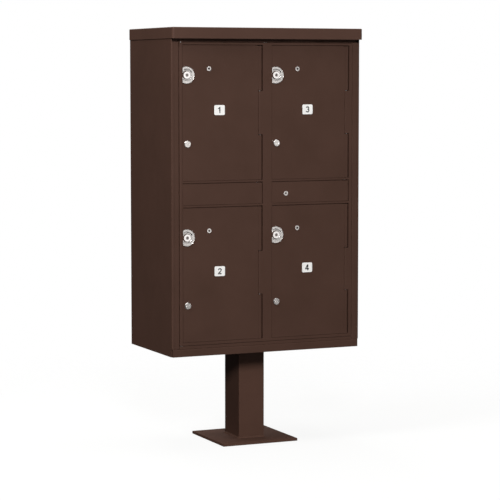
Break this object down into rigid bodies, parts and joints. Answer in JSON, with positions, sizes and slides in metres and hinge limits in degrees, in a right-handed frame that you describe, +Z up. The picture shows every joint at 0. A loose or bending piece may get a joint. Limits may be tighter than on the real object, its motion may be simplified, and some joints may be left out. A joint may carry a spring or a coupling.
{
  "type": "pedestal parcel locker unit",
  "caption": "Outdoor parcel locker cabinet on a square pedestal, with lockable parcel doors in one swing-out master frame under a shallow hood.",
  "frame": {"origin": "centre of the anchor plate's underside, on the ground, in the middle of its four anchor holes", "axes": "+X to the right of someone facing the doors, +Y from the doors towards the back, +Z up"},
  "size_m": [0.78, 0.449, 1.581],
  "materials": {
    "bronze_powder_coat": "fine-textured dark bronze powder coat, satin",
    "mill_aluminium": "plain mill finish",
    "zinc_plated_steel": "bright zinc",
    "brushed_stainless": "brushed",
    "lock_chrome": "polished",
    "white_plate": "satin white"
  },
  "bodies": {
    "cabinet": {"anchor_plate": "bronze_powder_coat", "pedestal_column": "bronze_powder_coat", "pedestal_cap_plate": "zinc_plated_steel", "cabinet_bolts": "zinc_plated_steel", "floor_pan": "bronze_powder_coat", "left_side_panel": "bronze_powder_coat", "right_side_panel": "bronze_powder_coat", "back_panel": "bronze_powder_coat", "hood": "bronze_powder_coat", "left_jamb": "bronze_powder_coat", "right_jamb": "bronze_powder_coat", "sill_rail": "bronze_powder_coat", "head_rail": "bronze_powder_coat", "upper_shelf": "mill_aluminium", "lower_shelf": "mill_aluminium", "compartment_dividers": "mill_aluminium", "frame_pivot_pins": "zinc_plated_steel"},
    "master_frame": {"frame_left_stile": "bronze_powder_coat", "frame_centre_stile": "bronze_powder_coat", "frame_right_stile": "bronze_powder_coat", "frame_bottom_rails": "bronze_powder_coat", "frame_middle_rails": "bronze_powder_coat", "frame_top_rails": "bronze_powder_coat", "door_hinge_knuckles": "bronze_powder_coat", "door_hinge_pins": "zinc_plated_steel", "left_middle_panel": "bronze_powder_coat", "right_middle_panel": "bronze_powder_coat", "master_key_ring": "brushed_stainless", "master_lock_case": "zinc_plated_steel", "latch_bar_guides": "zinc_plated_steel"},
    "master_plug": {"master_lock_plug": "lock_chrome"},
    "latch_bar": {"master_latch_bar": "zinc_plated_steel"},
    "upper_left_door": {"upper_left_door": "bronze_powder_coat", "upper_left_escutcheon": "brushed_stainless", "upper_left_lock_cylinder": "lock_chrome", "upper_left_key_ring": "brushed_stainless", "upper_left_spanner_plug": "brushed_stainless", "upper_left_number_plate": "white_plate"},
    "upper_left_plug": {"upper_left_lock_plug": "lock_chrome"},
    "lower_left_door": {"lower_left_door": "bronze_powder_coat", "lower_left_escutcheon": "brushed_stainless", "lower_left_lock_cylinder": "lock_chrome", "lower_left_key_ring": "brushed_stainless", "lower_left_spanner_plug": "brushed_stainless", "lower_left_number_plate": "white_plate"},
    "lower_left_plug": {"lower_left_lock_plug": "lock_chrome"},
    "upper_right_door": {"upper_right_door": "bronze_powder_coat", "upper_right_escutcheon": "brushed_stainless", "upper_right_lock_cylinder": "lock_chrome", "upper_right_key_ring": "brushed_stainless", "upper_right_spanner_plug": "brushed_stainless", "upper_right_number_plate": "white_plate"},
    "upper_right_plug": {"upper_right_lock_plug": "lock_chrome"},
    "lower_right_door": {"lower_right_door": "bronze_powder_coat", "lower_right_escutcheon": "brushed_stainless", "lower_right_lock_cylinder": "lock_chrome", "lower_right_key_ring": "brushed_stainless", "lower_right_spanner_plug": "brushed_stainless", "lower_right_number_plate": "white_plate"},
    "lower_right_plug": {"lower_right_lock_plug": "lock_chrome"}
  },
  "joints": [
    {"name": "master_frame_swing", "type": "hinge", "parent": "cabinet", "child": "master_frame", "pos_m": [-0.34965, -0.207, 0.4039], "axis": [0, 0, -1], "range_deg": [0, 100]},
    {"name": "master_plug_turn", "type": "hinge", "parent": "master_frame", "child": "master_plug", "pos_m": [0.077, -0.212, 0.96095], "axis": [0, 1, 0], "range_deg": [0, 90]},
    {"name": "latch_bar_slide", "type": "slide", "parent": "master_frame", "child": "latch_bar", "axis": [1, 0, 0], "range_m": [0, 0.0198]},
    {"name": "upper_left_door_swing", "type": "hinge", "parent": "master_frame", "child": "upper_left_door", "pos_m": [-0.0287, -0.2065, 1.01565], "axis": [0, 0, 1], "range_deg": [0, 110]},
    {"name": "upper_left_plug_turn", "type": "hinge", "parent": "upper_left_door", "child": "upper_left_plug", "pos_m": [-0.3275, -0.212, 1.4056], "axis": [0, 1, 0], "range_deg": [0, 90]},
    {"name": "lower_left_door_swing", "type": "hinge", "parent": "master_frame", "child": "lower_left_door", "pos_m": [-0.0287, -0.2065, 0.4158], "axis": [0, 0, 1], "range_deg": [0, 110]},
    {"name": "lower_left_plug_turn", "type": "hinge", "parent": "lower_left_door", "child": "lower_left_plug", "pos_m": [-0.3275, -0.212, 0.80575], "axis": [0, 1, 0], "range_deg": [0, 90]},
    {"name": "upper_right_door_swing", "type": "hinge", "parent": "master_frame", "child": "upper_right_door", "pos_m": [0.3333, -0.2065, 1.01565], "axis": [0, 0, 1], "range_deg": [0, 110]},
    {"name": "upper_right_plug_turn", "type": "hinge", "parent": "upper_right_door", "child": "upper_right_plug", "pos_m": [0.0345, -0.212, 1.4056], "axis": [0, 1, 0], "range_deg": [0, 90]},
    {"name": "lower_right_door_swing", "type": "hinge", "parent": "master_frame", "child": "lower_right_door", "pos_m": [0.3333, -0.2065, 0.4158], "axis": [0, 0, 1], "range_deg": [0, 110]},
    {"name": "lower_right_plug_turn", "type": "hinge", "parent": "lower_right_door", "child": "lower_right_plug", "pos_m": [0.0345, -0.212, 0.80575], "axis": [0, 1, 0], "range_deg": [0, 90]}
  ],
  "couplings": [
    {"joint": "master_plug_turn", "follows": "latch_bar_slide", "rad_per_m": 79.333}
  ]
}
